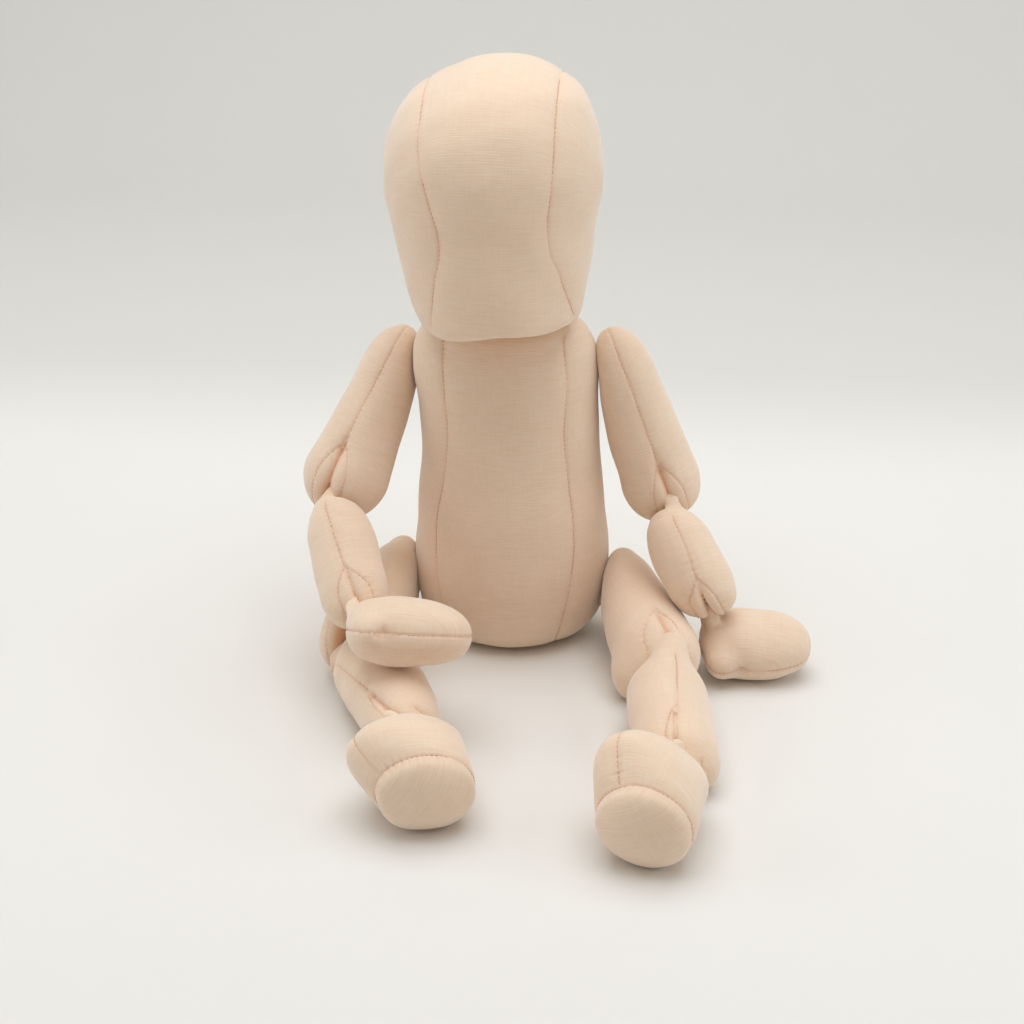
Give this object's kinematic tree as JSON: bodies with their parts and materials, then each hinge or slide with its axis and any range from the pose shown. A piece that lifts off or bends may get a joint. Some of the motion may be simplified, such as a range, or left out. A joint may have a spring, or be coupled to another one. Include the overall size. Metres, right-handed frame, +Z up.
{
  "type": "newborn posing doll",
  "caption": "Seated faceless newborn posing doll of stuffed linen cloth, with a turning head, disc-jointed arms and legs, and pinned elbows, wrists, knees and ankles.",
  "frame": {"origin": "centre of the flat seat under the torso, on the surface that the doll sits on", "axes": "+Z up along the spine, the doll faces -Y and +X is its left"},
  "size_m": [0.2601, 0.2688, 0.3053],
  "materials": {
    "cloth": "flesh-toned plain-weave linen, matt",
    "fibre": "loose white fibre filling",
    "plastic": "moulded ivory plastic"
  },
  "bodies": {
    "torso": {"torso_cover": "cloth", "torso_stuffing": "fibre", "neck_washer_disc": "plastic", "left_shoulder_washer_disc": "plastic", "left_hip_washer_disc": "plastic", "right_shoulder_washer_disc": "plastic", "right_hip_washer_disc": "plastic"},
    "head": {"head_cover": "cloth", "head_stuffing": "fibre", "neck_disc": "plastic", "neck_lock_nut": "plastic"},
    "left_upper_arm": {"left_upper_arm_cover": "cloth", "left_upper_arm_stuffing": "fibre", "left_shoulder_disc": "plastic", "left_shoulder_lock_nut": "plastic", "left_elbow_pin": "plastic", "left_elbow_pin_washer": "plastic"},
    "left_forearm": {"left_forearm_cover": "cloth", "left_forearm_stuffing": "fibre", "left_wrist_pin": "plastic", "left_wrist_pin_washer": "plastic"},
    "left_hand": {"left_hand_cover": "cloth", "left_hand_stuffing": "fibre"},
    "left_thigh": {"left_thigh_cover": "cloth", "left_thigh_stuffing": "fibre", "left_hip_disc": "plastic", "left_hip_lock_nut": "plastic", "left_knee_pin": "plastic", "left_knee_pin_washer": "plastic"},
    "left_calf": {"left_calf_cover": "cloth", "left_calf_stuffing": "fibre", "left_ankle_pin": "plastic", "left_ankle_pin_washer": "plastic"},
    "left_foot": {"left_foot_cover": "cloth", "left_foot_stuffing": "fibre"},
    "right_upper_arm": {"right_upper_arm_cover": "cloth", "right_upper_arm_stuffing": "fibre", "right_shoulder_disc": "plastic", "right_shoulder_lock_nut": "plastic", "right_elbow_pin": "plastic", "right_elbow_pin_washer": "plastic"},
    "right_forearm": {"right_forearm_cover": "cloth", "right_forearm_stuffing": "fibre", "right_wrist_pin": "plastic", "right_wrist_pin_washer": "plastic"},
    "right_hand": {"right_hand_cover": "cloth", "right_hand_stuffing": "fibre"},
    "right_thigh": {"right_thigh_cover": "cloth", "right_thigh_stuffing": "fibre", "right_hip_disc": "plastic", "right_hip_lock_nut": "plastic", "right_knee_pin": "plastic", "right_knee_pin_washer": "plastic"},
    "right_calf": {"right_calf_cover": "cloth", "right_calf_stuffing": "fibre", "right_ankle_pin": "plastic", "right_ankle_pin_washer": "plastic"},
    "right_foot": {"right_foot_cover": "cloth", "right_foot_stuffing": "fibre"}
  },
  "joints": [
    {"name": "neck_turn", "type": "hinge", "parent": "torso", "child": "head", "pos_m": [-0.004, -0.006, 0.1754], "axis": [0, 0, 1], "range_deg": [-80, 80]},
    {"name": "left_shoulder", "type": "hinge", "parent": "torso", "child": "left_upper_arm", "pos_m": [0.0436, 0.0017, 0.1465], "axis": [1, 0, 0], "range_deg": [-165, 40]},
    {"name": "left_elbow", "type": "hinge", "parent": "left_upper_arm", "child": "left_forearm", "pos_m": [0.0775, -0.004, 0.0865], "axis": [-0.9156, -0.2433, -0.3202], "range_deg": [-5, 40]},
    {"name": "left_wrist", "type": "hinge", "parent": "left_forearm", "child": "left_hand", "pos_m": [0.1005, -0.045, 0.0475], "axis": [-0.9279, -0.2636, -0.2636], "range_deg": [-50, 75]},
    {"name": "left_hip", "type": "hinge", "parent": "torso", "child": "left_thigh", "pos_m": [0.0508, -0.006, 0.029], "axis": [1, 0, 0], "range_deg": [0, 85]},
    {"name": "left_knee", "type": "hinge", "parent": "left_thigh", "child": "left_calf", "pos_m": [0.0795, -0.0665, 0.0198], "axis": [0.9115, 0.4076, -0.0552], "range_deg": [-30, 90]},
    {"name": "left_ankle", "type": "hinge", "parent": "left_calf", "child": "left_foot", "pos_m": [0.0895, -0.146, 0.0169], "axis": [-0.8988, -0.038, 0.4367], "range_deg": [-60, 60]},
    {"name": "right_shoulder", "type": "hinge", "parent": "torso", "child": "right_upper_arm", "pos_m": [-0.0504, 0.005, 0.142], "axis": [1, 0, 0], "range_deg": [-85, 0]},
    {"name": "right_elbow", "type": "hinge", "parent": "right_upper_arm", "child": "right_forearm", "pos_m": [-0.083, -0.028, 0.093], "axis": [-0.9379, 0.2416, 0.2488], "range_deg": [0, 65]},
    {"name": "right_wrist", "type": "hinge", "parent": "right_forearm", "child": "right_hand", "pos_m": [-0.0695, -0.086, 0.057], "axis": [-0.9027, -0.1984, -0.3819], "range_deg": [-8, 60]},
    {"name": "right_hip", "type": "hinge", "parent": "torso", "child": "right_thigh", "pos_m": [-0.0508, -0.003, 0.029], "axis": [1, 0, 0], "range_deg": [0, 85]},
    {"name": "right_knee", "type": "hinge", "parent": "right_thigh", "child": "right_calf", "pos_m": [-0.072, -0.0635, 0.0202], "axis": [0.9435, -0.3124, 0.1103], "range_deg": [-4, 75]},
    {"name": "right_ankle", "type": "hinge", "parent": "right_calf", "child": "right_foot", "pos_m": [-0.04, -0.136, 0.02], "axis": [-0.7567, -0.5621, -0.3339], "range_deg": [-60, 60]}
  ]
}
